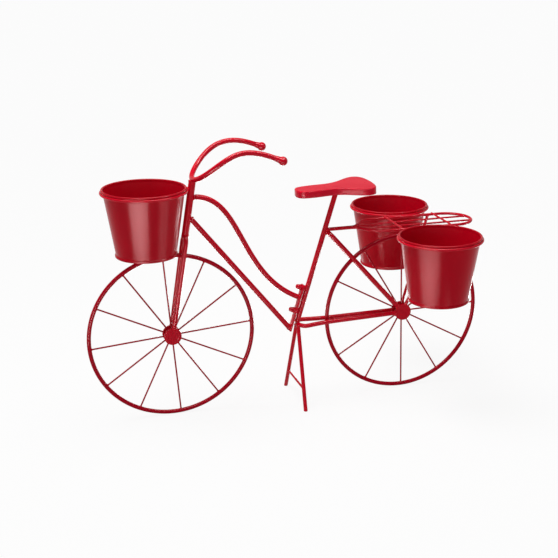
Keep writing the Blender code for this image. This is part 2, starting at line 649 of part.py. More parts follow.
def rack(rear_room):
    level = RACK_HEIGHT * UP
    neck_y = RACK_ROD / 2 + GAP / 2
    tube_station = (RACK_HEIGHT - SEAT_FOOT.z) / SEAT.z
    tube_middle = SEAT_FOOT + tube_station * SEAT
    weld = tube_middle - (FRAME_ROD / 2 + GAP) * SEAT_FRONT
    tip_middle_x = REAR_HUB.x + RACK_TIP_BEHIND_HUB - RACK_ROD / 2 - RACK_HALF_WIDTH
    widening = RACK_FULL_WIDTH_X - RACK_NECK_END_X
    neck_end = Vector((RACK_NECK_END_X, neck_y, RACK_HEIGHT))
    full = Vector((RACK_FULL_WIDTH_X, RACK_HALF_WIDTH, RACK_HEIGHT))
    bend = widening * Vector((1, 0, 0))
    sweep_share = 0.35
    tight_share = 0.6
    half = [Vector((tube_middle.x, neck_y, RACK_HEIGHT))]
    half += bezier(neck_end, neck_end + sweep_share * bend, full - tight_share * bend, full, BEND_STEPS)
    for step in range(BEND_STEPS + 1):
        turn = math.pi / 2 * step / BEND_STEPS
        half.append(level + tip_middle_x * Vector((1, 0, 0))
                    + RACK_HALF_WIDTH * Vector((math.sin(turn), math.cos(turn), 0)))
    path = mirrored(half)
    loop = rod("rack_loop", path, RACK_ROD, WIRE_SIDES)
    trim(loop, weld, SEAT_FRONT)
    loop_room = rod_cutter("rack_loop", path, RACK_ROD, WIRE_SIDES)

    wire_z = RACK_HEIGHT - RACK_WIRE_DROP
    cross_z = wire_z + RACK_WIRE + GAP
    # Share of the wire's run, and share of its outward step there.
    spread_shares = ((0, 0), (0.10, 0.40), (0.25, 0.76), (0.45, 0.92), (1, 1))
    start = point_at(half, RACK_WIRE_FRONT_X)
    end_x = tip_middle_x + math.sqrt(RACK_HALF_WIDTH ** 2 - RACK_WIRE_REAR_Y ** 2)
    run = end_x - start.x
    for side_name, side in (("left", -1), ("right", 1)):
        knots = []
        for run_share, step_share in spread_shares:
            y = start.y + step_share * (RACK_WIRE_REAR_Y - start.y)
            knots.append(Vector((start.x + run_share * run, side * y, wire_z)))
        wire = rod("rack_wire_" + side_name, smooth_through(knots, 3), RACK_WIRE, WIRE_SIDES)
        cut(wire, loop_room)
    for end_name, behind_hub in zip(("front", "rear"), RACK_CROSS_BEHIND_HUB):
        reach = RACK_HALF_WIDTH * ACROSS
        place = Vector((REAR_HUB.x + behind_hub, 0, cross_z))
        wire = rod("rack_cross_wire_" + end_name, [place - reach, place + reach], RACK_WIRE, WIRE_SIDES)
        cut(wire, loop_room)
    for side_name, side in (("left", -1), ("right", 1)):
        top = Vector((REAR_HUB.x + STRUT_TOP_BEHIND_HUB, side * RACK_HALF_WIDTH, RACK_HEIGHT))
        lean = (top - REAR_HUB).normalized()
        lean.y = 0
        foot = REAR_HUB + HUB_DISC_DIAMETER / 4 * lean + side * DISC_MIDDLE_Y * ACROSS
        strut = rod("rack_strut_" + side_name, [foot, top], RACK_ROD)
        cut(strut, rear_room, loop_room)


# Pots

def pot_profile():
    """The wall, from the inside of the rolled bead over it and down, then back up inside."""
    bead = POT_BEAD / 2
    bead_radius = POT_RIM_DIAMETER / 2 - bead
    neck = RING_DIAMETER / 2 - RING_ROD / 2 - POT_NECK_CLEARANCE
    foot = POT_FOOT_DIAMETER / 2
    seam = foot + POT_SEAM_STEP
    first = math.pi
    last = -math.pi / 2
    points = []
    for step in range(BEAD_STEPS + 1):
        turn = first + (last - first) * step / BEAD_STEPS
        points.append((bead_radius + bead * math.cos(turn), bead * math.sin(turn)))
    seam_top = POT_SEAM_HEIGHT - POT_DROP
    inside_foot = foot - POT_SHEET
    lip = inside_foot - POT_LIP
    points += [(neck, -POT_BEAD), (foot, seam_top + POT_SEAM_STEP), (seam, seam_top), (seam, -POT_DROP),
               (lip, -POT_DROP), (lip, POT_SHEET - POT_DROP), (inside_foot, POT_SHEET - POT_DROP),
               (neck - POT_SHEET, -POT_BEAD)]
    return points


def pot(name, ring_middle):
    ring(name.replace("pot", "pot_ring"), ring_middle, RING_DIAMETER, RING_ROD, RING_STEPS)
    bead_middle = ring_middle + BEAD_LIFT * UP
    wall = turned(name, pot_profile(), bead_middle, UP, POT_STEPS)
    base_foot = bead_middle + (POT_SHEET + GAP - POT_DROP) * UP
    base_across = POT_FOOT_DIAMETER - 2 * POT_SHEET - 2 * GAP
    base = cylinder(name + "_base", base_foot, base_foot + POT_BASE_SHEET * UP, base_across, POT_STEPS)
    pivot(name + "_lift", bead_middle, wall, base)


def pots():
    column = FRONT_HUB + (FRONT_RING_HEIGHT - FRONT_HUB.z) / STEER.z * STEER
    front_x = column.x - COLUMN_DIAMETER / 2 / STEER.z - GAP - RING_OUTER_RADIUS
    pot("pot_front", Vector((front_x, 0, FRONT_RING_HEIGHT)))
    pot("pot_rear_left", Vector((REAR_POT_X, -REAR_POT_Y, REAR_RING_HEIGHT)))
    pot("pot_rear_right", Vector((REAR_POT_X, REAR_POT_Y, REAR_RING_HEIGHT)))


clear_scene()
pieces = new_collection("bicycle_planter")
cutters = new_collection("bicycle_planter_cutters")

for wheel_name, wheel_hub, wheel_turn in WHEELS:
    hub_hardware(wheel_name, wheel_hub)
    wheel(wheel_name, wheel_hub, wheel_turn)
steering()
main_frame()
joining_strip()
stay_room, rear_hub_room = stays()
kickstand(stay_room)
saddle()
rack(rear_hub_room)
pots()
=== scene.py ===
# Bicycle planter in red enamel: the looks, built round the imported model.
# Lengths are in metres; X runs from the front wheel to the rear one, Y across, Z up.
import math

import bpy
from mathutils import Matrix, Vector, noise


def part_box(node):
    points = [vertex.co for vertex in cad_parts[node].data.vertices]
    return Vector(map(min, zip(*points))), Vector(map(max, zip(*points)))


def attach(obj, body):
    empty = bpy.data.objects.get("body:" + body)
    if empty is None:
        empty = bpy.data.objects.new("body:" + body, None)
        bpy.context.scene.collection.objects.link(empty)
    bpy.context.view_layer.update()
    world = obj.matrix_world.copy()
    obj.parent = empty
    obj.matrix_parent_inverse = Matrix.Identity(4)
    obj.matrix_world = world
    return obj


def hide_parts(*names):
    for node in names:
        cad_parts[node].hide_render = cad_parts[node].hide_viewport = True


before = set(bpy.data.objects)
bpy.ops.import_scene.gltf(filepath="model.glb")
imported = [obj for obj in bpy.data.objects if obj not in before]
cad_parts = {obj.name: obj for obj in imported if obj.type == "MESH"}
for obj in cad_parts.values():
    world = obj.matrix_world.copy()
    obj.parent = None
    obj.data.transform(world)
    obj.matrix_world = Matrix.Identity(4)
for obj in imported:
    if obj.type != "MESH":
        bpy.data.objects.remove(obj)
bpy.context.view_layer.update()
print("frame loaded:", len(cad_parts), "nodes")

across = Vector((0, 1, 0))
up = Vector((0, 0, 1))
backward = Vector((1, 0, 0))
hands = (("left", -1), ("right", 1))  # left is the near side, towards -Y
gap = 0.0003  # between pieces that touch
leanDegrees = {"head": 9.3, "seat": 17.1}


def heading(degrees, way=1):  # in the middle plane, turned up from backward, or from forward if way is -1
    angle = math.radians(degrees)
    return Vector((way * math.cos(angle), 0, math.sin(angle)))


steer = heading(90 - leanDegrees["head"])
seat = heading(90 - leanDegrees["seat"])
seatFront = heading(leanDegrees["seat"], -1)


# Selection and finishing

creaseDegrees = {"sheet": 30, "rod": 35, "ring": 60, "weld": 80}


def selectOnly(*objects):
    for picked in bpy.context.selected_objects:
        picked.select_set(False)
    for wanted in objects:
        wanted.select_set(True)
    if objects:
        bpy.context.view_layer.objects.active = objects[0]


def addBevel(piece, width, segments, degrees=30):
    bevel = piece.modifiers.new("bevel", "BEVEL")
    bevel.width = width
    bevel.segments = segments
    bevel.limit_method = "ANGLE"
    bevel.angle_limit = math.radians(degrees)


def applyAll(piece):
    selectOnly(piece)
    for step in list(piece.modifiers):
        bpy.ops.object.modifier_apply(modifier=step.name)


def placeInMesh(piece):
    selectOnly(piece)
    bpy.ops.object.transform_apply(location=True, rotation=True, scale=True)


def smooth(piece, kind="rod"):
    selectOnly(piece)
    bpy.ops.object.shade_smooth_by_angle(angle=math.radians(creaseDegrees[kind]))


def joined(pieces):
    selectOnly(*pieces)
    bpy.ops.object.join()
    return bpy.context.object


def joinedWords(name):  # pot_rear_left becomes PotRearLeft
    return name.replace("_", " ").title().replace(" ", "")


def setFinish(piece, finish):
    piece.data.materials.clear()
    piece.data.materials.append(finish)


def deliver(piece, name, body, slotName, finish, *nodes):
    piece.name = name
    piece.data.name = name
    placeInMesh(piece)
    setFinish(piece, finish)
    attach(piece, body)
    if nodes:
        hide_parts(*nodes)


def deliverToFrame(piece, name, node):
    deliver(piece, name, "frame", "frame_enamel", rodEnamel, node)


# Places and paths

stock = {"merge": 0.00001, "soften": 0.0005, "softenSteps": 3, "rodSides": 20, "turnSteps": 48,
         "hairpinSteps": 20, "pathSteps": 8}


def middleOf(node):
    low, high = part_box(node)
    return (low + high) / 2


def mirrored(point, side=-1):
    return Vector((point.x, side * point.y, point.z))


def bothSides(half):  # from the far side round to the near one
    return half + [mirrored(point) for point in reversed(half[:-1])]


def arc(middleX, middleY, radius, start, stop, steps):  # start and stop in degrees
    turns = [math.radians(start + (stop - start) * step / steps) for step in range(steps + 1)]
    return [(middleX + radius * math.cos(turn), middleY + radius * math.sin(turn)) for turn in turns]


def bezierPath(start, leadOut, leadIn, end, steps):
    points = []
    for step in range(steps + 1):
        t = step / steps
        s = 1 - t
        points.append(s ** 3 * start + 3 * s * s * t * leadOut + 3 * s * t * t * leadIn + t ** 3 * end)
    return points


def smoothPath(knots):  # one smooth curve through every knot
    steps = stock["pathSteps"]
    ends = [2 * knots[0] - knots[1]] + knots + [2 * knots[-1] - knots[-2]]
    points = []
    for a, b, c, d in zip(ends, ends[1:], ends[2:], ends[3:]):
        for step in range(steps):
            t = step / steps
            points.append(((2 * b) + (c - a) * t + (2 * a - 5 * b + 4 * c - d) * t ** 2
                           + (3 * b - a - 3 * c + d) * t ** 3) / 2)
    return points + [knots[-1]]


def hairpin(base, along, length, footHalf, crownHalf):
    crownMiddle = base + (length - crownHalf) * along
    bend = [crownMiddle + out * across + on * along
            for out, on in arc(0, 0, crownHalf, 0, 90, stock["hairpinSteps"])]
    return bothSides([base + footHalf * across] + bend)


def pointAt(path, x):  # on a path that runs backward
    for a, b in zip(path, path[1:]):
        if x <= b.x:
            return a.lerp(b, (x - a.x) / (b.x - a.x))
    return path[-1]


# Stock: bent rod, turned profiles

def bendRod(points, diameter, soften=stock["soften"], sides=stock["rodSides"]):
    line = bpy.data.curves.new("rod", "CURVE")
    line.dimensions = "3D"
    line.bevel_depth = diameter / 2
    line.bevel_resolution = sides // 2 - 2  # which gives the rod that many sides
    line.use_fill_caps = True
    spline = line.splines.new("POLY")
    spline.points.add(len(points) - 1)
    for knot, point in zip(spline.points, points):
        knot.co = (*point, 1)
    rod = bpy.data.objects.new("rod", line)
    bpy.context.collection.objects.link(rod)
    selectOnly(rod)
    bpy.ops.object.convert(target="MESH")
    rod = bpy.context.object
    bpy.ops.object.mode_set(mode="EDIT")
    bpy.ops.mesh.select_all(action="SELECT")
    bpy.ops.mesh.remove_doubles(threshold=stock["merge"])
    bpy.ops.mesh.select_all(action="DESELECT")
    bpy.ops.object.mode_set(mode="OBJECT")
    for face in rod.data.polygons:  # the sawn ends, which alone have more than four corners
        face.select = len(face.vertices) > 4
    bpy.ops.object.mode_set(mode="EDIT")
    bpy.ops.mesh.bevel(offset=soften, segments=stock["softenSteps"], affect="EDGES")
    bpy.ops.object.mode_set(mode="OBJECT")
    smooth(rod)
    return rod


def turnProfile(profile, steps=stock["turnSteps"], closed=False):
    # the first ring is drawn, then each further one is extruded from it; the axis is Z
    firstRadius, firstHeight = profile[0]
    selectOnly()
    bpy.ops.mesh.primitive_circle_add(vertices=steps, radius=firstRadius, location=(0, 0, firstHeight))
    turned = bpy.context.object
    placeInMesh(turned)
    bpy.ops.object.mode_set(mode="EDIT")
    bpy.ops.mesh.select_all(action="SELECT")
    for (radius, height), (nextRadius, nextHeight) in zip(profile, profile[1:]):
        bpy.ops.mesh.extrude_region_move(TRANSFORM_OT_translate={"value": (0, 0, nextHeight - height)})
        growth = nextRadius / radius
        bpy.ops.transform.resize(value=(growth, growth, 1), center_override=(0, 0, nextHeight))
    if not closed:
        bpy.ops.mesh.edge_face_add()
        bpy.ops.mesh.select_all(action="DESELECT")
        bpy.ops.object.mode_set(mode="OBJECT")
        for corner in turned.data.vertices:
            corner.select = corner.index < steps
        bpy.ops.object.mode_set(mode="EDIT")
        bpy.ops.mesh.select_mode(type="VERT")
        bpy.ops.mesh.edge_face_add()
    bpy.ops.mesh.select_all(action="SELECT")
    bpy.ops.mesh.remove_doubles(threshold=stock["merge"])
    bpy.ops.mesh.normals_make_consistent(inside=False)
    bpy.ops.object.mode_set(mode="OBJECT")
    smooth(turned)
    return turned


def standAlong(piece, place, along):
    piece.matrix_world = Matrix.Translation(place) @ along.to_track_quat("Z", "Y").to_matrix().to_4x4()
    placeInMesh(piece)


# Enamel and steel

# a Mix node's sockets for colours
mixA = 6
mixB = 7
mixResult = 2

enamelLook = {"pool": 0.035, "poolDetail": 3.0, "poolRoughness": 0.5, "thin": 0.3, "thick": 0.7,
              "deeper": 0.93, "glossier": 0.9, "duller": 1.15, "index": 1.5,
              "peel": 0.0016, "peelDetail": 1.0, "peelDepth": 0.0001,
              "wave": 0.018, "waveDetail": 1.5, "waveDepth": 0.001}
steelLook = {"grey": "#9A9A9C", "radian": 0.0006, "radiansToUnit": 20, "distortion": 1.5,
             "smoothest": 0.28, "roughest": 0.42, "strength": 0.2, "depth": 0.00005}


def linearColour(hexValue):
    parts = [int(hexValue[n:n + 2], 16) / 255 for n in (1, 3, 5)]
    return tuple(c / 12.92 if c <= 0.04045 else ((c + 0.055) / 1.055) ** 2.4 for c in parts) + (1,)


def greyLight(level):
    return (level, level, level, 1)


def addNode(tree, kind, settings=None, links=None):  # an input is given by its name or its number
    node = tree.nodes.new(kind)
    for key, value in (settings or {}).items():
        if isinstance(key, int) or key in node.inputs:
            node.inputs[key].default_value = value
        else:
            setattr(node, key, value)
    for key, socket in (links or {}).items():
        tree.links.new(socket, node.inputs[key])
    return node


def startMaterial(name, sockets):
    material = bpy.data.materials.new(name)
    material.use_nodes = True
    tree = material.node_tree
    shader = tree.nodes["Principled BSDF"]
    for socket, value in sockets.items():
        shader.inputs[socket].default_value = value
    return material, tree, shader


def stovedEnamel(name, red, roughness, peel, gloss, waviness=0.0):
    # Stoved enamel over bare steel: a smooth skin with faint orange peel, a little deeper in colour
    # where it ran thicker. The peel is drawn at 1.6 mm so that it shows, and a rolled sheet waves
    # at 18 mm. The gloss is kept low, because the white floor shows in the rods' edges.
    look = enamelLook
    enamel, tree, shader = startMaterial(name, {"Metallic": 0.0, "IOR": look["index"],
                                                "Specular IOR Level": gloss})
    colour = linearColour(red)
    place = addNode(tree, "ShaderNodeTexCoord").outputs["Object"]
    pool = addNode(tree, "ShaderNodeTexNoise",
                   {"Scale": 1 / look["pool"], "Detail": look["poolDetail"],
                    "Roughness": look["poolRoughness"]},
                   {"Vector": place}).outputs["Fac"]
    deep = addNode(tree, "ShaderNodeMapRange", {"From Min": look["thin"], "From Max": look["thick"]},
                   {"Value": pool})
    tone = addNode(tree, "ShaderNodeMix",
                   {"data_type": "RGBA", mixA: colour, mixB: [c * look["deeper"] for c in colour[:3]] + [1]},
                   {"Factor": deep.outputs["Result"]})
    tree.links.new(tone.outputs[mixResult], shader.inputs["Base Color"])
    rough = addNode(tree, "ShaderNodeMapRange",
                    {"From Min": look["thin"], "From Max": look["thick"],
                     "To Min": roughness * look["glossier"], "To Max": roughness * look["duller"]},
                    {"Value": pool})
    tree.links.new(rough.outputs["Result"], shader.inputs["Roughness"])
    fine = addNode(tree, "ShaderNodeTexNoise", {"Scale": 1 / look["peel"], "Detail": look["peelDetail"]},
                   {"Vector": place})
    skin = addNode(tree, "ShaderNodeBump", {"Strength": peel, "Distance": look["peelDepth"]},
                   {"Height": fine.outputs["Fac"]})
    if waviness:
        wave = addNode(tree, "ShaderNodeTexNoise", {"Scale": 1 / look["wave"], "Detail": look["waveDetail"]},
                       {"Vector": place})
        skin = addNode(tree, "ShaderNodeBump", {"Strength": waviness, "Distance": look["waveDepth"]},
                       {"Height": wave.outputs["Fac"], "Normal": skin.outputs["Normal"]})
    tree.links.new(skin.outputs["Normal"], shader.inputs["Normal"])
    return enamel


def drawnSteel(name):
    # Bright drawn steel, turned at the ends: rings round the bar, a grey metal gloss. The wave texture
    # counts 20 radians to a unit, so the rings stand 3.8 mm apart.
    look = steelLook
    steel, tree, shader = startMaterial(name, {"Metallic": 1.0, "Base Color": linearColour(look["grey"])})
    place = addNode(tree, "ShaderNodeTexCoord").outputs["Object"]
    rings = addNode(tree, "ShaderNodeTexWave",
                    {"bands_direction": "Y", "Scale": 1 / look["radian"] / look["radiansToUnit"],
                     "Distortion": look["distortion"]},
                    {"Vector": place}).outputs["Fac"]
    rough = addNode(tree, "ShaderNodeMapRange", {"To Min": look["smoothest"], "To Max": look["roughest"]},
                    {"Value": rings})
    tree.links.new(rough.outputs["Result"], shader.inputs["Roughness"])
    skin = addNode(tree, "ShaderNodeBump", {"Strength": look["strength"], "Distance": look["depth"]},
                   {"Height": rings})
    tree.links.new(skin.outputs["Normal"], shader.inputs["Normal"])
    return steel


# All these parts wear one red enamel. The reds differ from part to part as lit and shaded copies of it:
# painted lighter for the top-lit saddle, painted darker for the pots' shaded walls and for the wheels.
rodEnamel = stovedEnamel("rod_enamel", "#E20628", roughness=0.22, peel=0.03, gloss=0.10)
wheelEnamel = stovedEnamel("wheel_enamel", "#C40524", roughness=0.22, peel=0.03, gloss=0.06)
potEnamel = stovedEnamel("rolled_sheet_enamel", "#CC0320", roughness=0.22, peel=0.04, gloss=0.07,
                         waviness=0.04)
saddleEnamel = stovedEnamel("pressed_sheet_enamel", "#EC0830", roughness=0.30, peel=0.12, gloss=0.09)
nutEnamel = stovedEnamel("fastener_enamel", "#E20628", roughness=0.22, peel=0.10, gloss=0.12)
weldEnamel = stovedEnamel("weld_enamel", "#E20628", roughness=0.22, peel=0.10, gloss=0.12)
axleSteel = drawnSteel("drawn_axle_steel")
print("enamel and steel mixed")


# Welds: each is noted where the rods are made, and laid at the end

# half the bead's width across the rod, half its length along it, and how far along its middle is moved
weldBeads = {"spokeAtRim": (0.0021, 0.0011, 0), "spokeAtBarrel": (0.0019, 0.0010, 0),
             "rodAtDisc": (0.0042, 0.0022, 0.0004), "strutAtDisc": (0.0030, 0.0020, 0),
             "crown": (0.0055, 0.00805, 0.0007), "handlebar": (0.00616, 0.0022, -0.00336),
             "topTubeFront": (0.0048, 0.0020, 0), "topTubeRear": (0.00464, 0.0020, 0.0003),
             "downTubeFront": (0.00496, 0.0024, -0.0008), "downTubeRear": (0.0048, 0.0026, -0.0006),
             "seatTubeTop": (0.00496, 0.0018, -0.0024), "seatTubeFoot": (0.0048, 0.0024, 0.0008),
             "stayCrown": (0.0042, 0.0025, 0), "stud": (0.0042, 0.0012, 0.0001),
             "kickstandTop": (0.003844, 0.0026, 0.0038), "kickstandWire": (0.0026, 0.0014, 0),
             "rackLoop": (0.0042, 0.0022, 0), "strutTop": (0.0031, 0.0020, -0.0020),
             "rackWireRear": (0.0022, 0.0016, -0.0016), "rackWireFront": (0.0021, 0.0030, 0.0030),
             "crossWireEnd": (0.0019, 0.0019, 0), "crossWireMiddle": (0.0016, 0.0014, 0),
             "frontRing": (0.0024, 0.0042, 0), "rearRing": (0.0021, 0.0032, 0)}
weldSpots = {"frame": [], "front_wheel": [], "rear_wheel": []}


def noteWeld(kind, place, along, body="frame"):
    wide, long, shift = weldBeads[kind]
    weldSpots[body].append((place + shift * along, along, wide, long))


# Wheels

wheelSizes = {"spokeCount": 12, "spokeWire": 0.0025, "spokeRound": 0.0003, "spokeSides": 12,
              "spokeStopShare": 0.42, "turnDegrees": {"front": 4.6, "rear": 1.1},
              "barrel": 0.014, "bore": 0.0051, "barrelRound": 0.0006,
              "seamDegrees": 45, "seamReachShare": 0.9, "swellingShare": 0.05,
              "ringSteps": 160, "ringSides": 24}
frontHub = middleOf("front_rim")
rearHub = middleOf("rear_rim")


def buildRim(end, hub):
    s = wheelSizes
    low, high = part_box(end + "_rim")
    rimRod = high.y - low.y
    rimRadius = (high.z - low.z) / 2 - rimRod / 2
    selectOnly()
    bpy.ops.mesh.primitive_torus_add(major_segments=s["ringSteps"], minor_segments=s["ringSides"],
                                     major_radius=rimRadius, minor_radius=rimRod / 2, location=hub,
                                     rotation=(math.pi / 2, 0, 0))
    rim = bpy.context.object
    placeInMesh(rim)
    smooth(rim, "ring")
    # the two ends of the rolled rod are butt welded, with a slight swelling there
    seamPlace = hub + rimRadius * heading(s["turnDegrees"][end] + s["seamDegrees"])
    for corner in rim.data.vertices:
        away = (corner.co - seamPlace).length / (rimRod * s["seamReachShare"])
        if away < 1:
            middle = hub + rimRadius * Vector((corner.co.x - hub.x, 0, corner.co.z - hub.z)).normalized()
            corner.co = middle + (corner.co - middle) * (1 + s["swellingShare"] * (1 - away ** 2))
    deliver(rim, end + "RimRing", end + "_wheel", "wheel_enamel", wheelEnamel, end + "_rim")
    return rimRadius, rimRod


def buildSpokes(end, hub, rimRadius, rimRod):
    s = wheelSizes
    low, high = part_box(end + "_spokes")
    half = (high.y - low.y) / 2
    outer = s["barrel"] / 2
    bore = s["bore"] / 2
    edge = s["barrelRound"]
    barrel = turnProfile([(bore, -half), (outer - edge, -half), (outer, edge - half), (outer, half - edge),
                          (outer - edge, half), (bore, half), (bore, -half)], closed=True)
    standAlong(barrel, hub, across)
    parts = [barrel]
    for number in range(s["spokeCount"]):
        ray = heading(s["turnDegrees"][end] + 360 * number / s["spokeCount"])
        start = hub + (outer - edge) * ray
        tip = hub + (rimRadius - rimRod * s["spokeStopShare"]) * ray
        parts.append(bendRod([start, tip], s["spokeWire"], soften=s["spokeRound"], sides=s["spokeSides"]))
        noteWeld("spokeAtRim", hub + (rimRadius - rimRod / 2) * ray, ray, end + "_wheel")
        noteWeld("spokeAtBarrel", hub + outer * ray, ray, end + "_wheel")
    deliver(joined(parts), end + "SpokeSet", end + "_wheel", "wheel_enamel", wheelEnamel, end + "_spokes")


for end, hub in (("front", frontHub), ("rear", rearHub)):
    rimRadius, rimRod = buildRim(end, hub)
    buildSpokes(end, hub, rimRadius, rimRod)
print("wheels built")


# Hub discs

discSizes = {"round": 0.0006, "roundSteps": 4, "dish": 0.00035, "dishRadius": 0.0092, "dishOut": 0.0008,
             "dishIn": 0.0015, "dishEdgeShare": 0.6, "pole": 0.0004, "steps": 64,
             "rodIn": 0.0012, "weldOut": 0.0004}


def buildDisc(end, side):
    s = discSizes
    node = f"{end}_hub_disc_{side}"
    low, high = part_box(node)
    radius = (high.z - low.z) / 2
    half = (high.y - low.y) / 2
    rounding = s["round"]
    profile = [(s["pole"], -half)]
    profile += arc(radius - rounding, rounding - half, rounding, -90, 0, s["roundSteps"])
    profile += arc(radius - rounding, half - rounding, rounding, 0, 90, s["roundSteps"])
    profile += [(s["dishRadius"] + s["dishOut"], half),
                (s["dishRadius"], half - s["dish"] * s["dishEdgeShare"]),
                (s["dishRadius"] - s["dishIn"], half - s["dish"]), (s["pole"], half - s["dish"])]
    disc = turnProfile(profile, steps=s["steps"])
    standAlong(disc, (low + high) / 2, across if side == "right" else -across)
    deliverToFrame(disc, f"{end}HubDisc{side.capitalize()}", node)


for end in ("front", "rear"):
    for side in ("right", "left"):
        buildDisc(end, side)
discLow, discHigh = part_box("front_hub_disc_right")
discRadius = (discHigh.z - discLow.z) / 2
discY = (discLow.y + discHigh.y) / 2
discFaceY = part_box("rear_hub_disc_right")[1].y


# Steering column, fork and handlebar

steeringSizes = {"columnTube": 0.011, "columnRound": 0.0008, "columnSides": 32, "weldInShare": 0.3,
                 "forkRod": 0.007, "forkHalf": 0.012, "crownAboveHub": 0.158,
                 "barRod": 0.008, "barSides": 24, "barAboveRing": 0.0135, "barHalf": 0.050,
                 "barFlare": 0.006, "barReach": 0.1115, "barLift": 0.0350,
                 "riseHandle": 0.0524, "riseAngle": 43.8, "fallHandle": 0.060, "fallAngle": 22.2,
                 "sideSteps": 120, "bendSteps": 24}
gripSizes = {"cone": 0.0085, "coneWide": 0.0105, "shoulderShare": 0.94, "shoulderDown": 0.0006,
             "ball": 0.0135, "ballSteps": 16, "lipOut": 0.0001, "lipUp": 0.0004, "lipIn": 0.0002,
             "pole": 0.0003, "overBar": 0.0002, "steps": 40}
barHeight = middleOf("pot_ring_front").z + steeringSizes["barAboveRing"]
barMiddle = frontHub + (barHeight - frontHub.z) / steer.z * steer


def buildFork():
    s = steeringSizes
    crown = frontHub + s["crownAboveHub"] * steer
    outDisc = discRadius - discSizes["rodIn"]
    legs = hairpin(frontHub + outDisc * steer, steer, s["crownAboveHub"] - outDisc, discFaceY, s["forkHalf"])
    deliverToFrame(bendRod(legs, s["forkRod"]), "forkHairpin", "fork")
    column = bendRod([crown + s["forkRod"] * s["weldInShare"] * steer,
                      barMiddle - s["barRod"] * s["weldInShare"] * steer],
                     s["columnTube"], soften=s["columnRound"], sides=s["columnSides"])
    deliverToFrame(column, "steeringColumn", "steering_column")
    noteWeld("crown", crown, steer)
    noteWeld("handlebar", barMiddle, steer)
    for side in (-1, 1):
        noteWeld("rodAtDisc", frontHub + discRadius * steer + side * discFaceY * across, steer)


def buildHandlebar():
    s = steeringSizes
    end = barMiddle + s["barReach"] * backward + s["barLift"] * up
    rise = barMiddle + s["riseHandle"] * heading(s["riseAngle"])
    fall = end + s["fallHandle"] * heading(s["fallAngle"], -1)
    sideView = bezierPath(barMiddle, rise, fall, end, s["sideSteps"])
    bendEnd = barMiddle.x + s["barHalf"]
    plan = arc(bendEnd, 0, s["barHalf"], 180, 90, s["bendSteps"])[:-1]
    for step in range(s["bendSteps"] + 1):
        share = step / s["bendSteps"]
        plan.append((bendEnd + share * (s["barReach"] - s["barHalf"]),
                     s["barHalf"] + s["barFlare"] * share ** 2))
    half = [Vector((x, y, pointAt(sideView, x).z)) for x, y in plan]
    half.reverse()
    bar = bendRod(bothSides(half), s["barRod"], sides=s["barSides"])
    deliverToFrame(bar, "handlebarRod", "handlebar")
    buildGrips(half[0], (half[0] - half[1]).normalized())


def buildGrips(barEnd, outward):
    s = gripSizes
    bar = steeringSizes["barRod"] / 2
    ball = s["ball"] / 2
    neck = s["coneWide"] / 2
    middle = s["cone"] + math.sqrt(ball ** 2 - neck ** 2)
    neckDegrees = math.degrees(math.asin(neck / ball)) - 90
    profile = [(s["pole"], middle + ball)]
    profile += arc(0, middle, ball, 90, neckDegrees, s["ballSteps"])[1:]
    profile += [(neck * s["shoulderShare"], s["cone"] - s["shoulderDown"]), (bar + s["lipOut"], s["lipUp"]),
                (bar - s["lipIn"], 0), (s["pole"], 0)]
    for sideName, side in reversed(hands):
        along = mirrored(outward, side)
        knob = turnProfile(profile, steps=s["steps"])
        standAlong(knob, mirrored(barEnd, side) - s["overBar"] * along, along)
        deliverToFrame(knob, "grip" + sideName.capitalize(), "grip_" + sideName)


buildFork()
buildHandlebar()
print("steering built")


# Main frame

frameSizes = {"rod": 0.008, "chainRod": 0.007, "stayRod": 0.007, "chainHalf": 0.0156, "stayHalf": 0.009,
              "seatFootX": 0.0126, "chainDrop": 0.0032, "topBelowBar": 0.0275, "downAboveCrown": 0.0315,
              "topFrontHandle": 0.081, "topFrontAngle": 3.0, "topRearHandle": 0.109, "topRearAngle": 24.5,
              "topSteps": 64, "topStation": 0.0390, "downStation": -0.0130, "stayBelowRack": 0.0055,
              "weldIn": 0.0015, "topWeldIn": 0.0002, "seatTubeShort": 0.0008, "seatTubeSides": 24}
stripSizes = {"length": 0.0775, "width": 0.012, "thick": 0.003, "foot": -0.0175, "spacer": 0.002,
              "studs": {"lower": 0.0170, "upper": 0.0553}, "round": 0.0007, "roundSteps": 3}
# shares of the way from the chain stays' bend to the hub, and of chainHalf out from the middle
bendShares = ((0, 0), (0.011, 0.54), (0.040, 0.95), (0.075, 1.0), (0.14, 0.86), (0.27, 0.66), (0.55, 0.56))
chainOff = frameSizes["chainRod"] / 2 + gap
seatFoot = Vector((frameSizes["seatFootX"], 0, frontHub.z - frameSizes["chainDrop"] + chainOff))
chainBend = seatFoot - chainOff * up
stripMiddleOff = frameSizes["rod"] / 2 + stripSizes["spacer"] + 2 * gap + stripSizes["thick"] / 2
stripFaceOff = stripMiddleOff + stripSizes["thick"] / 2
rackZ = middleOf("rack_loop").z


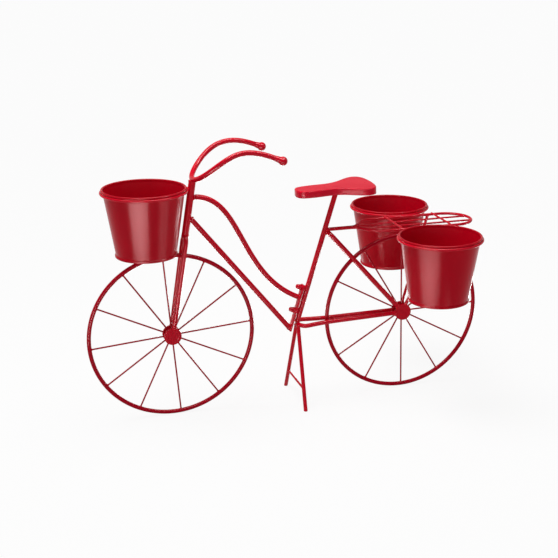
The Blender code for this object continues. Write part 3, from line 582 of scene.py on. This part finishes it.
def buildTubes():
    s = frameSizes
    columnHalf = steeringSizes["columnTube"] / 2
    start = barMiddle - s["topBelowBar"] / steer.z * steer
    end = seatFoot + s["topStation"] * seat + stripFaceOff * seatFront
    leadOut = heading(s["topFrontAngle"])
    leadIn = heading(s["topRearAngle"], -1)
    path = bezierPath(start, start + s["topFrontHandle"] * leadOut, end + s["topRearHandle"] * leadIn, end,
                      s["topSteps"])
    path = [point for point in path if point.x > start.x + columnHalf - s["weldIn"]]
    deliverToFrame(bendRod(path + [end - s["weldIn"] * leadIn], s["rod"]), "topTube", "top_tube")
    noteWeld("topTubeFront", start + (columnHalf - s["topWeldIn"]) * backward, leadOut)
    noteWeld("topTubeRear", end, leadIn)

    start = frontHub + (steeringSizes["crownAboveHub"] + s["downAboveCrown"]) * steer
    end = seatFoot + s["downStation"] * seat + stripFaceOff * seatFront
    slope = (end - start).normalized()
    outward = columnHalf / slope.x
    down = bendRod([start + (outward - s["weldIn"]) * slope, end + s["weldIn"] * slope], s["rod"])
    deliverToFrame(down, "downTube", "down_tube")
    noteWeld("downTubeFront", start + outward * slope, slope)
    noteWeld("downTubeRear", end, slope)

    reach = (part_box("seat_tube")[1].z - seatFoot.z) / seat.z
    post = bendRod([seatFoot - s["weldIn"] * seat, seatFoot + (reach - s["seatTubeShort"]) * seat], s["rod"],
                   sides=s["seatTubeSides"])
    deliverToFrame(post, "seatTube", "seat_tube")
    noteWeld("seatTubeTop", seatFoot + reach * seat, seat)
    noteWeld("seatTubeFoot", seatFoot, seat)


def buildStays():
    s = frameSizes
    outDisc = discRadius - discSizes["rodIn"]
    back = rearHub - chainBend
    half = [chainBend + lengthShare * back + widthShare * s["chainHalf"] * across
            for lengthShare, widthShare in bendShares]
    half.append(rearHub - outDisc * back.normalized() + discY * across)
    half.reverse()
    deliverToFrame(bendRod(smoothPath(bothSides(half)), s["chainRod"]), "chainStays", "chain_stays")

    beside = s["rod"] / 2 + s["stayRod"] / 2 + gap
    station = (rackZ - s["stayBelowRack"] + beside * seatFront.z - seatFoot.z) / seat.z
    crown = seatFoot + station * seat - beside * seatFront
    rise = crown - rearHub
    along = rise.normalized()
    legs = hairpin(rearHub + outDisc * along, along, rise.length - outDisc, discY, s["stayHalf"])
    deliverToFrame(bendRod(legs, s["stayRod"]), "seatStays", "seat_stays")
    noteWeld("stayCrown", crown - gap * along + s["stayRod"] / 2 * seatFront, seatFront)
    for side in (-1, 1):
        for direction in (along, -back.normalized()):
            noteWeld("rodAtDisc", rearHub + discRadius * direction + side * discY * across, direction)


kickstandSizes = {"rod": 0.0062, "footX": 0.0092, "spread": 0.0545, "topIn": 0.0022, "wire": 0.0036,
                  "wireZ": 0.0320, "wireInShare": 0.3, "sole": 0.0004, "soleShare": 0.86}


def sawLevel(leg, foot):  # the foot is sawn level with the ground
    s = kickstandSizes
    selectOnly(leg)
    bpy.ops.object.mode_set(mode="EDIT")
    bpy.ops.mesh.select_all(action="SELECT")
    bpy.ops.mesh.bisect(plane_co=(0, 0, s["sole"]), plane_no=(0, 0, -1), use_fill=True, clear_outer=True)
    bpy.ops.mesh.extrude_region_move(TRANSFORM_OT_translate={"value": (0, 0, -s["sole"])})
    bpy.ops.transform.resize(value=(s["soleShare"], s["soleShare"], 1), center_override=(foot.x, foot.y, 0))
    bpy.ops.object.mode_set(mode="OBJECT")
    smooth(leg)


def buildKickstand():
    s = kickstandSizes
    slant = math.atan2(s["spread"], chainBend.z)
    ends = []
    for sideName, side in hands:
        foot = Vector((s["footX"], side * s["spread"], 0))
        top = chainBend + side * (s["rod"] / 2 / math.cos(slant) + gap) * across
        down = (foot - top).normalized()
        leg = bendRod([top + s["topIn"] * down, foot + s["rod"] * down], s["rod"])
        sawLevel(leg, foot)
        deliverToFrame(leg, "kickstandLeg" + sideName.capitalize(), "kickstand_leg_" + sideName)
        joint = foot + s["wireZ"] / top.z * (top - foot)
        ends.append(joint - side * s["rod"] * s["wireInShare"] * across)
        noteWeld("kickstandTop", top, down)
        noteWeld("kickstandWire", joint - side * s["rod"] / 2 * across, across)
    deliverToFrame(bendRod(ends, s["wire"]), "kickstandWire", "kickstand_cross_wire")


buildTubes()
buildStays()
buildKickstand()
print("frame tubes built")


# Joining strip and its cap nuts

nutSizes = {"corners": 6, "flats": 0.008, "hex": 0.0042, "cornerRound": 0.00035, "cornerSteps": 3,
            "height": 0.010, "dome": 0.0075, "domeFootShare": 0.999, "domeSunkShare": 0.8,
            "domeSteps": 12, "pole": 0.0002, "steps": 40}


def buildStrip():
    s = stripSizes
    selectOnly()
    bpy.ops.mesh.primitive_cube_add(size=1)
    strip = bpy.context.object
    strip.scale = (s["length"], s["width"], s["thick"])
    placeInMesh(strip)
    addBevel(strip, s["round"], s["roundSteps"])
    applyAll(strip)
    strip.rotation_euler = (0, math.radians(leanDegrees["seat"] - 90), 0)
    strip.location = seatFoot + (s["foot"] + s["length"] / 2) * seat + stripMiddleOff * seatFront
    smooth(strip)
    deliverToFrame(strip, "joiningStrip", "joining_strip")


def buildCapNut(level, foot):
    s = nutSizes
    selectOnly()
    bpy.ops.mesh.primitive_cylinder_add(vertices=s["corners"], depth=s["hex"], location=(0, 0, s["hex"] / 2),
                                        radius=s["flats"] / 2 / math.cos(math.pi / s["corners"]))
    nut = bpy.context.object
    placeInMesh(nut)
    addBevel(nut, s["cornerRound"], s["cornerSteps"])
    applyAll(nut)
    smooth(nut)
    dome = s["dome"] / 2
    cap = [(dome * s["domeFootShare"], s["hex"] * s["domeSunkShare"])]
    cap += arc(0, s["height"] - dome, dome, 0, 90, s["domeSteps"])[:-1]
    cap += [(s["pole"], s["height"])]
    whole = joined([nut, turnProfile(cap, steps=s["steps"])])
    standAlong(whole, foot + (stripFaceOff + gap) * seatFront, seatFront)
    deliver(whole, level + "CapNut", "frame", "fastener_enamel", nutEnamel, level + "_cap_nut")
    noteWeld("stud", foot + frameSizes["rod"] / 2 * seatFront, seatFront)


buildStrip()
for level, station in stripSizes["studs"].items():
    buildCapNut(level, seatFoot + station * seat)
print("strip bolted on")


# Saddle

saddleSizes = {"length": 0.123, "half": 0.0435, "tilt": 2.3, "skirt": 0.0107, "sheet": 0.0015,
               "fold": 0.0015, "foldSteps": 6, "hem": 0.0003, "hemSteps": 2, "edgeDegrees": 60,
               "insetShares": (1.6, 2.0)}
# shares of the saddle's length from the nose, and of its greatest half width
saddleShares = ((0, 0), (0.012, 0.22), (0.055, 0.37), (0.13, 0.43), (0.25, 0.45), (0.40, 0.43),
                (0.50, 0.46), (0.60, 0.58), (0.70, 0.78), (0.79, 0.95), (0.87, 1.0), (0.945, 0.88),
                (0.985, 0.58), (1.0, 0))


def saddleOutline():
    half = [Vector((saddleSizes["length"] * a, saddleSizes["half"] * b, 0)) for a, b in saddleShares]
    around = half[1:] + [mirrored(point) for point in reversed(half[1:-1])] + [half[0]]
    lap = 2  # knots that are passed twice, so that the curve closes smoothly
    looped = smoothPath(around[-lap:] + around + around[:lap])
    return looped[lap * stock["pathSteps"]:-lap * stock["pathSteps"] - 1]


def buildSaddle():
    s = saddleSizes
    outline = saddleOutline()
    selectOnly()
    bpy.ops.mesh.primitive_circle_add(vertices=len(outline), radius=s["half"], fill_type="NGON")
    saddle = bpy.context.object
    for corner, point in zip(saddle.data.vertices, outline):
        corner.co = point
    bpy.ops.object.mode_set(mode="EDIT")
    bpy.ops.mesh.select_all(action="SELECT")
    for share in s["insetShares"]:
        bpy.ops.mesh.inset(thickness=s["fold"] * share, use_boundary=True)
    bpy.ops.mesh.select_all(action="DESELECT")
    bpy.ops.mesh.select_mode(type="EDGE")
    bpy.ops.object.mode_set(mode="OBJECT")
    for edge in saddle.data.edges:  # the skirt hangs from the outermost edges
        edge.select = all(corner < len(outline) for corner in edge.vertices)
    bpy.ops.object.mode_set(mode="EDIT")
    bpy.ops.mesh.extrude_region_move(TRANSFORM_OT_translate={"value": (0, 0, -s["skirt"])})
    bpy.ops.mesh.select_all(action="SELECT")
    bpy.ops.mesh.normals_make_consistent(inside=False)
    bpy.ops.object.mode_set(mode="OBJECT")
    if saddle.data.polygons[0].normal.z < 0:
        saddle.data.flip_normals()
    addBevel(saddle, s["fold"], s["foldSteps"], s["edgeDegrees"])
    sheet = saddle.modifiers.new("sheet", "SOLIDIFY")
    sheet.thickness = s["sheet"]
    sheet.offset = -1
    sheet.use_even_offset = True
    addBevel(saddle, s["hem"], s["hemSteps"], s["edgeDegrees"])
    applyAll(saddle)
    smooth(saddle, "sheet")
    saddle.rotation_euler = (0, -math.radians(s["tilt"]), 0)
    placeInMesh(saddle)
    low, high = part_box("saddle")
    noseX = min(corner.co.x for corner in saddle.data.vertices)
    topZ = max(corner.co.z for corner in saddle.data.vertices)
    saddle.location = (low.x - noseX, 0, high.z - topZ)
    deliver(saddle, "saddlePressing", "frame", "sheet_enamel", saddleEnamel, "saddle")


buildSaddle()
print("saddle pressed")


# Carrier

rackSizes = {"rod": 0.0045, "half": 0.0365, "neckEndX": 0.102, "neckShare": 0.35, "fullX": 0.147,
             "fullShare": 0.6, "tipBehindHub": 0.1155, "bendSteps": 24, "weldIn": 0.0008,
             "wire": 0.003, "wireSides": 16, "wireFrontX": 0.110, "wireRearY": 0.0125, "wireDrop": 0.0008,
             "crossBehindHub": {"front": -0.017, "rear": 0.064}, "crossRound": 0.0006,
             "crossEndIn": 0.0006, "crossEndDown": 0.0008, "crossMiddleDown": 0.0014,
             "strutBehindHub": 0.0572, "strutShort": 0.001}
# shares of a lengthwise wire's run back, and of its step outward
spreadShares = ((0, 0), (0.10, 0.40), (0.25, 0.76), (0.45, 0.92), (1, 1))
tipMiddleX = rearHub.x + rackSizes["tipBehindHub"] - rackSizes["rod"] / 2 - rackSizes["half"]
rackWireZ = rackZ - rackSizes["wireDrop"]


def buildRackLoop():
    s = rackSizes
    seatTubeX = (seatFoot + (rackZ - seatFoot.z) / seat.z * seat).x + frameSizes["rod"] / 2
    neckY = s["rod"] / 2 + gap / 2
    widening = (s["fullX"] - s["neckEndX"]) * backward
    neckEnd = Vector((s["neckEndX"], neckY, rackZ))
    full = Vector((s["fullX"], s["half"], rackZ))
    half = [Vector((seatTubeX - s["weldIn"], neckY, rackZ))]
    half += bezierPath(neckEnd, neckEnd + s["neckShare"] * widening, full - s["fullShare"] * widening, full,
                       s["bendSteps"])
    half += [Vector((x, y, rackZ)) for x, y in arc(tipMiddleX, 0, s["half"], 90, 0, s["bendSteps"])]
    deliverToFrame(bendRod(bothSides(half), s["rod"]), "rackLoop", "rack_loop")
    noteWeld("rackLoop", Vector((seatTubeX, 0, rackZ)), backward)
    return half


def buildRackWires(loopHalf):
    s = rackSizes
    start = pointAt(loopHalf, s["wireFrontX"])
    endX = tipMiddleX + math.sqrt(s["half"] ** 2 - s["wireRearY"] ** 2)
    for sideName, side in hands:
        knots = [Vector((start.x + runShare * (endX - start.x),
                         side * (start.y + stepShare * (s["wireRearY"] - start.y)), rackWireZ))
                 for runShare, stepShare in spreadShares]
        wire = bendRod(smoothPath(knots), s["wire"], sides=s["wireSides"])
        deliverToFrame(wire, "rackWire" + sideName.capitalize(), "rack_wire_" + sideName)
        noteWeld("rackWireRear", knots[-1], backward)
        noteWeld("rackWireFront", knots[0], backward)
    for endName, behindHub in s["crossBehindHub"].items():
        place = Vector((rearHub.x + behindHub, 0, rackWireZ + s["wire"]))
        reach = s["half"] * across
        wire = bendRod([place - reach, place + reach], s["wire"], soften=s["crossRound"],
                       sides=s["wireSides"])
        deliverToFrame(wire, "rackCrossWire" + endName.capitalize(), "rack_cross_wire_" + endName)
        for side in (-1, 1):
            noteWeld("crossWireEnd", place + side * (s["half"] - s["crossEndIn"]) * across
                     - s["crossEndDown"] * up, across)
            noteWeld("crossWireMiddle", place + side * s["wireRearY"] * across - s["crossMiddleDown"] * up,
                     across)


def buildRackStruts():
    s = rackSizes
    for sideName, side in hands:
        top = Vector((rearHub.x + s["strutBehindHub"], side * s["half"], rackZ))
        lean = Vector((top.x - rearHub.x, 0, top.z - rearHub.z)).normalized()
        besideHub = rearHub + side * discY * across
        foot = besideHub + (discRadius - discSizes["rodIn"]) * lean
        rising = (top - foot).normalized()
        strut = bendRod([foot, top - s["strutShort"] * rising], s["rod"])
        deliverToFrame(strut, "rackStrut" + sideName.capitalize(), "rack_strut_" + sideName)
        noteWeld("strutTop", top, rising)
        noteWeld("strutAtDisc", besideHub + (discRadius + discSizes["weldOut"]) * lean, rising)


buildRackWires(buildRackLoop())
buildRackStruts()
print("carrier built")


# Pots, their floors and their rings

# heights in a pot count from the middle of its rolled bead
potSizes = {"bead": 0.0035, "beadDegrees": (201.6, -108), "beadSteps": 20, "sheet": 0.001,
            "neckGap": 0.0011, "neckStep": 0.0001, "wallTop": 0.003675, "wallSteps": 14, "foot": 0.0912,
            "footStep": 0.0012, "footHeight": 0.003, "crestIn": 0.0004, "crestUp": 0.0002,
            "crestDown": 0.0003, "footRound": 0.0005, "lip": 0.0026, "steps": 128,
            "seamDegrees": {"front": -35, "rear_left": 172, "rear_right": -60},
            "seamWide": 0.0045, "seamProud": 0.0004}
floorSizes = {"raised": 0.0008, "pole": 0.0004, "steps": 96,
              "pressShares": ((0.90, 0), (0.87, 0.3), (0.84, 1.0), (0.82, 1.1)), "middleShare": 1.1}
ringSizes = {"steps": 144, "sides": 20, "frontOutShare": 0.35, "frontApart": 0.0028, "frontDown": 0.0002,
             "rearOutShare": 0.52, "rearApart": 0.0042, "rearDown": 0.0004}


def potProfile(neck, beadRadius, floorZ):
    s = potSizes
    foot = s["foot"] / 2
    inside = foot - s["sheet"]
    lip = inside - s["lip"]
    top = -s["wallTop"]
    crest = floorZ + s["footHeight"]
    fall = crest + s["footStep"] - top
    proud = foot + s["footStep"]
    rolled = arc(beadRadius, 0, s["bead"] / 2, *s["beadDegrees"], s["beadSteps"])
    wall = [(neck + s["neckStep"], top)]
    wall += [(neck + (foot - neck) * n / s["wallSteps"], top + fall * n / s["wallSteps"])
             for n in range(1, s["wallSteps"] + 1)]
    hem = [(proud - s["crestIn"], crest + s["crestUp"]), (proud, crest - s["crestDown"]),
           (proud, floorZ + s["footRound"]), (proud - s["footRound"], floorZ),
           (lip, floorZ), (lip, floorZ + s["sheet"]), (inside, floorZ + s["sheet"])]
    return rolled + wall + hem + [(neck - s["sheet"], top), rolled[0]]


def rollSideSeam(pot, neck, floorZ, seamDegrees):  # the wall's lapped side seam, rolled flat
    s = potSizes
    wallIn = neck - s["sheet"]
    footIn = s["foot"] / 2 - s["sheet"]
    for corner in pot.data.vertices:
        radius = math.hypot(corner.co.x, corner.co.y)
        turn = math.atan2(corner.co.y, corner.co.x) - math.radians(seamDegrees)
        beside = abs(math.remainder(turn, 2 * math.pi)) * radius
        midSheet = wallIn + (footIn - wallIn) * (corner.co.z / floorZ) + s["sheet"] / 2
        onWall = floorZ + s["footHeight"] < corner.co.z < -s["bead"]
        if onWall and radius > midSheet and beside < s["seamWide"] / 2:
            growth = 1 + s["seamProud"] / radius
            corner.co.x *= growth
            corner.co.y *= growth


def buildPotFloor(node, body, middle):  # a pressed disc with a shallow raised middle
    s = floorSizes
    low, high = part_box(node + "_base")
    radius = (high.x - low.x) / 2
    thick = high.z - low.z
    disc = [(s["pole"], 0), (radius, 0), (radius, thick)]
    disc += [(radius * outShare, thick + s["raised"] * upShare) for outShare, upShare in s["pressShares"]]
    disc += [(s["pole"], thick + s["raised"] * s["middleShare"])]
    base = turnProfile(disc, steps=s["steps"])
    base.location = (middle.x, middle.y, low.z)
    deliver(base, joinedWords(node) + "Floor", body, "pot_enamel", potEnamel, node + "_base")


def buildPot(where):
    s = potSizes
    node = "pot_" + where
    body = where + "_pot"
    low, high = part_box(node)
    ringLow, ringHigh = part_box("pot_ring_" + where)
    ringRod = ringHigh.z - ringLow.z
    ringRadius = (ringHigh.x - ringLow.x) / 2 - ringRod / 2
    ringMiddle = (ringLow + ringHigh) / 2
    middle = Vector((ringMiddle.x, ringMiddle.y, high.z - s["bead"] / 2))
    neck = ringRadius - ringRod / 2 - s["neckGap"]
    floorZ = low.z - middle.z
    pot = turnProfile(potProfile(neck, ringRadius - s["bead"] / 2, floorZ), steps=s["steps"], closed=True)
    rollSideSeam(pot, neck, floorZ, s["seamDegrees"][where])
    pot.location = middle
    deliver(pot, joinedWords(node), body, "pot_enamel", potEnamel, node)
    buildPotFloor(node, body, middle)

    selectOnly()
    bpy.ops.mesh.primitive_torus_add(major_segments=ringSizes["steps"], minor_segments=ringSizes["sides"],
                                     major_radius=ringRadius, minor_radius=ringRod / 2, location=ringMiddle)
    ring = bpy.context.object
    smooth(ring, "ring")
    deliverToFrame(ring, joinedWords(node) + "Ring", "pot_ring_" + where)
    return ringMiddle, ringRadius, ringRod


def buildPots():
    s = ringSizes
    middle, radius, rod = buildPot("front")
    for side in (-1, 1):
        noteWeld("frontRing", middle + (radius + rod * s["frontOutShare"]) * backward
                 + side * s["frontApart"] * across - s["frontDown"] * up, across)
    for sideName, side in hands:
        middle, radius, rod = buildPot("rear_" + sideName)
        for step in (-1, 0, 1):
            noteWeld("rearRing", middle - side * (radius + rod * s["rearOutShare"]) * across
                     + step * s["rearApart"] * backward - s["rearDown"] * up, backward)


buildPots()
print("pots rolled")


# Weld beads: a small lumpy bead at each noted place, smooth enough for its size

beadLook = {"lumps": 0.13, "lumpScale": 1.7, "lumpStep": 3.1, "largeFrom": 0.0025,
            "largeSubdivisions": 3, "smallSubdivisions": 2}


def layWelds(body):
    s = beadLook
    beads = []
    for number, (place, along, wide, long) in enumerate(weldSpots[body]):
        selectOnly()
        finer = s["largeSubdivisions"] if wide > s["largeFrom"] else s["smallSubdivisions"]
        bpy.ops.mesh.primitive_ico_sphere_add(subdivisions=finer, radius=1)
        bead = bpy.context.object
        shift = Vector((number * s["lumpStep"], 0, 0))
        for corner in bead.data.vertices:
            corner.co *= 1 + s["lumps"] * noise.noise(corner.co * s["lumpScale"] + shift)
        bead.scale = (wide, wide, long)
        placeInMesh(bead)
        standAlong(bead, place, along)
        beads.append(bead)
    welds = joined(beads)
    smooth(welds, "weld")
    slotName = "frame_enamel" if body == "frame" else "wheel_enamel"
    deliver(welds, joinedWords(body) + "Welds", body, slotName, weldEnamel)


for body in weldSpots:
    layWelds(body)
print("welds laid")


# Studs, spacers and axles keep their own shape

keptNodes = {"upper_stud": nutEnamel, "lower_stud": nutEnamel, "upper_spacer": nutEnamel,
             "lower_spacer": nutEnamel, "front_axle": axleSteel, "rear_axle": axleSteel}
for name, finish in keptNodes.items():
    setFinish(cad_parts[name], finish)


# Studio

studio = {"floor": "#FFFFFF", "bounce": "#CCCCCC", "floorHalf": 30.0, "glow": 0.90,
          "sun": 1.32, "sunAngle": 35.0, "sunTilt": -4.0, "sunTurn": -20.0,
          "boxPower": 1.75, "boxSide": 0.35, "boxPlace": (-0.12, 0.02, 0.98),
          "horizon": 0.98, "horizonTop": 0.10, "wall": 0.22, "wallSpan": (0.24, 0.45), "ceiling": 0.30}

# gridded strip lights stand low round the object and show as bands in the pots' enamel: the pot's node,
# the bearing from its axis (from the front, -Y, towards -X), distance, length, width and radiance
strips = (("bandFrontPot", "pot_front", 28, 0.46, 0.46, 0.19, 7.0),
          ("bandFrontPotEnd", "pot_front", -50, 0.46, 0.26, 0.16, 1.0),
          ("bandNearPot", "pot_rear_left", 55, 0.30, 0.36, 0.12, 4.6),
          ("bandBackFrontPot", "pot_front", -152, 0.46, 0.40, 0.09, 4.0),
          ("bandBackFarPot", "pot_rear_right", -132, 0.30, 0.26, 0.08, 4.0))
stripAim = {"rise": 32.0, "spread": 90.0, "offFloor": 0.002}
# a long narrow one hangs over the near side and draws the pale line along the tops of the rods
overheadStrip = {"place": Vector((0, -0.28, 1.10)), "aim": Vector((0, 0, 0.30)),
                 "length": 1.2, "width": 0.22, "radiance": 34.0}
view = {"lens": 75.17, "sensor": 36, "place": (-0.5008, -1.6598, 0.7529),
        "turn": -16.25, "tip": 72.384, "roll": -0.459}


def buildFloor():
    # white to the camera and in reflections; what it throws back on to the object is a light grey's
    selectOnly()
    bpy.ops.mesh.primitive_plane_add(size=2 * studio["floorHalf"], location=(0, 0, 0))
    floor = bpy.context.object
    floor.name = "studioFloor"
    paper, tree, shader = startMaterial("matt_paper", {"Roughness": 1.0, "Specular IOR Level": 0.0})
    path = addNode(tree, "ShaderNodeLightPath")
    mirrorRay = addNode(tree, "ShaderNodeMath", {"operation": "MAXIMUM"},
                        {0: path.outputs["Is Glossy Ray"], 1: path.outputs["Is Transmission Ray"]})
    seen = addNode(tree, "ShaderNodeMath", {"operation": "MAXIMUM"},
                   {0: path.outputs["Is Camera Ray"], 1: mirrorRay.outputs[0]})
    colour = addNode(tree, "ShaderNodeMix",
                     {"data_type": "RGBA", mixA: linearColour(studio["bounce"]),
                      mixB: linearColour(studio["floor"])},
                     {"Factor": seen.outputs[0]})
    tree.links.new(colour.outputs[mixResult], shader.inputs["Base Color"])
    share = addNode(tree, "ShaderNodeMath", {"operation": "MULTIPLY", 1: studio["glow"]},
                    {0: seen.outputs[0]})
    white = addNode(tree, "ShaderNodeEmission", {"Color": greyLight(1), "Strength": 1.0})
    blend = addNode(tree, "ShaderNodeMixShader", links={0: share.outputs[0], 1: shader.outputs[0],
                                                        2: white.outputs[0]})
    tree.links.new(blend.outputs[0], tree.nodes["Material Output"].inputs["Surface"])
    floor.data.materials.append(paper)


def addLamp(name, kind):
    lamp = bpy.data.objects.new(name, bpy.data.lights.new(name, kind))
    bpy.context.collection.objects.link(lamp)
    return lamp


def addStrip(name, place, facing, length, width, radiance):
    strip = addLamp(name, "AREA")
    strip.data.shape = "RECTANGLE"
    strip.data.size = length
    strip.data.size_y = width
    strip.data.energy = radiance * length * width * math.pi
    strip.location = place
    strip.rotation_euler = facing.to_track_quat("-Z", "Y").to_euler()
    strip.visible_camera = False
    strip.visible_diffuse = False
    return strip


def standStrip(name, node, bearing, distance, length, width, radiance):
    rise = math.radians(stripAim["rise"])
    away = Vector((-math.sin(math.radians(bearing)), -math.cos(math.radians(bearing)), 0))
    place = middleOf(node) + distance * away
    place.z = width / 2 * math.cos(rise) + stripAim["offFloor"]
    strip = addStrip(name, place, math.sin(rise) * up - math.cos(rise) * away, length, width, radiance)
    strip.data.spread = math.radians(stripAim["spread"])


def buildLights():
    sun = addLamp("overheadLight", "SUN")
    sun.data.energy = studio["sun"]
    sun.data.angle = math.radians(studio["sunAngle"])
    sun.rotation_euler = (math.radians(studio["sunTilt"]), math.radians(studio["sunTurn"]), 0)
    softbox = addLamp("middleSoftbox", "AREA")
    softbox.data.shape = "SQUARE"
    softbox.data.size = studio["boxSide"]
    softbox.data.energy = studio["boxPower"]
    softbox.location = studio["boxPlace"]
    softbox.visible_camera = False
    for strip in strips:
        standStrip(*strip)
    high = overheadStrip
    addStrip("highlightStrip", high["place"], high["aim"] - high["place"], high["length"], high["width"],
             high["radiance"])


def buildRoom():
    # nearly white at the horizon, dim walls, a slightly lighter ceiling
    world = bpy.data.worlds.new("paleRoom")
    bpy.context.scene.world = world
    world.use_nodes = True
    tree = world.node_tree
    direction = addNode(tree, "ShaderNodeTexCoord").outputs["Generated"]
    height = addNode(tree, "ShaderNodeSeparateXYZ", links={"Vector": direction}).outputs["Z"]
    room = addNode(tree, "ShaderNodeValToRGB", links={"Fac": height})
    lowest, highest = room.color_ramp.elements
    lowest.position = studio["horizonTop"]
    lowest.color = greyLight(studio["horizon"])
    highest.color = greyLight(studio["ceiling"])
    for position in studio["wallSpan"]:
        room.color_ramp.elements.new(position).color = greyLight(studio["wall"])
    sky = tree.nodes["Background"]
    tree.links.new(room.outputs["Color"], sky.inputs["Color"])
    sky.inputs["Strength"].default_value = 1.0


def buildCamera():
    lens = bpy.data.cameras.new("camera")
    lens.lens = view["lens"]
    lens.sensor_width = view["sensor"]
    camera = bpy.data.objects.new("camera", lens)
    bpy.context.collection.objects.link(camera)
    turn, tip, roll = (Matrix.Rotation(math.radians(view[name]), 4, axis)
                       for name, axis in (("turn", "Z"), ("tip", "X"), ("roll", "Z")))
    camera.matrix_world = Matrix.Translation(view["place"]) @ (turn @ tip @ roll)
    bpy.context.scene.camera = camera


buildFloor()
buildLights()
buildRoom()
buildCamera()
bpy.context.scene.view_settings.view_transform = "Standard"
print("studio set")
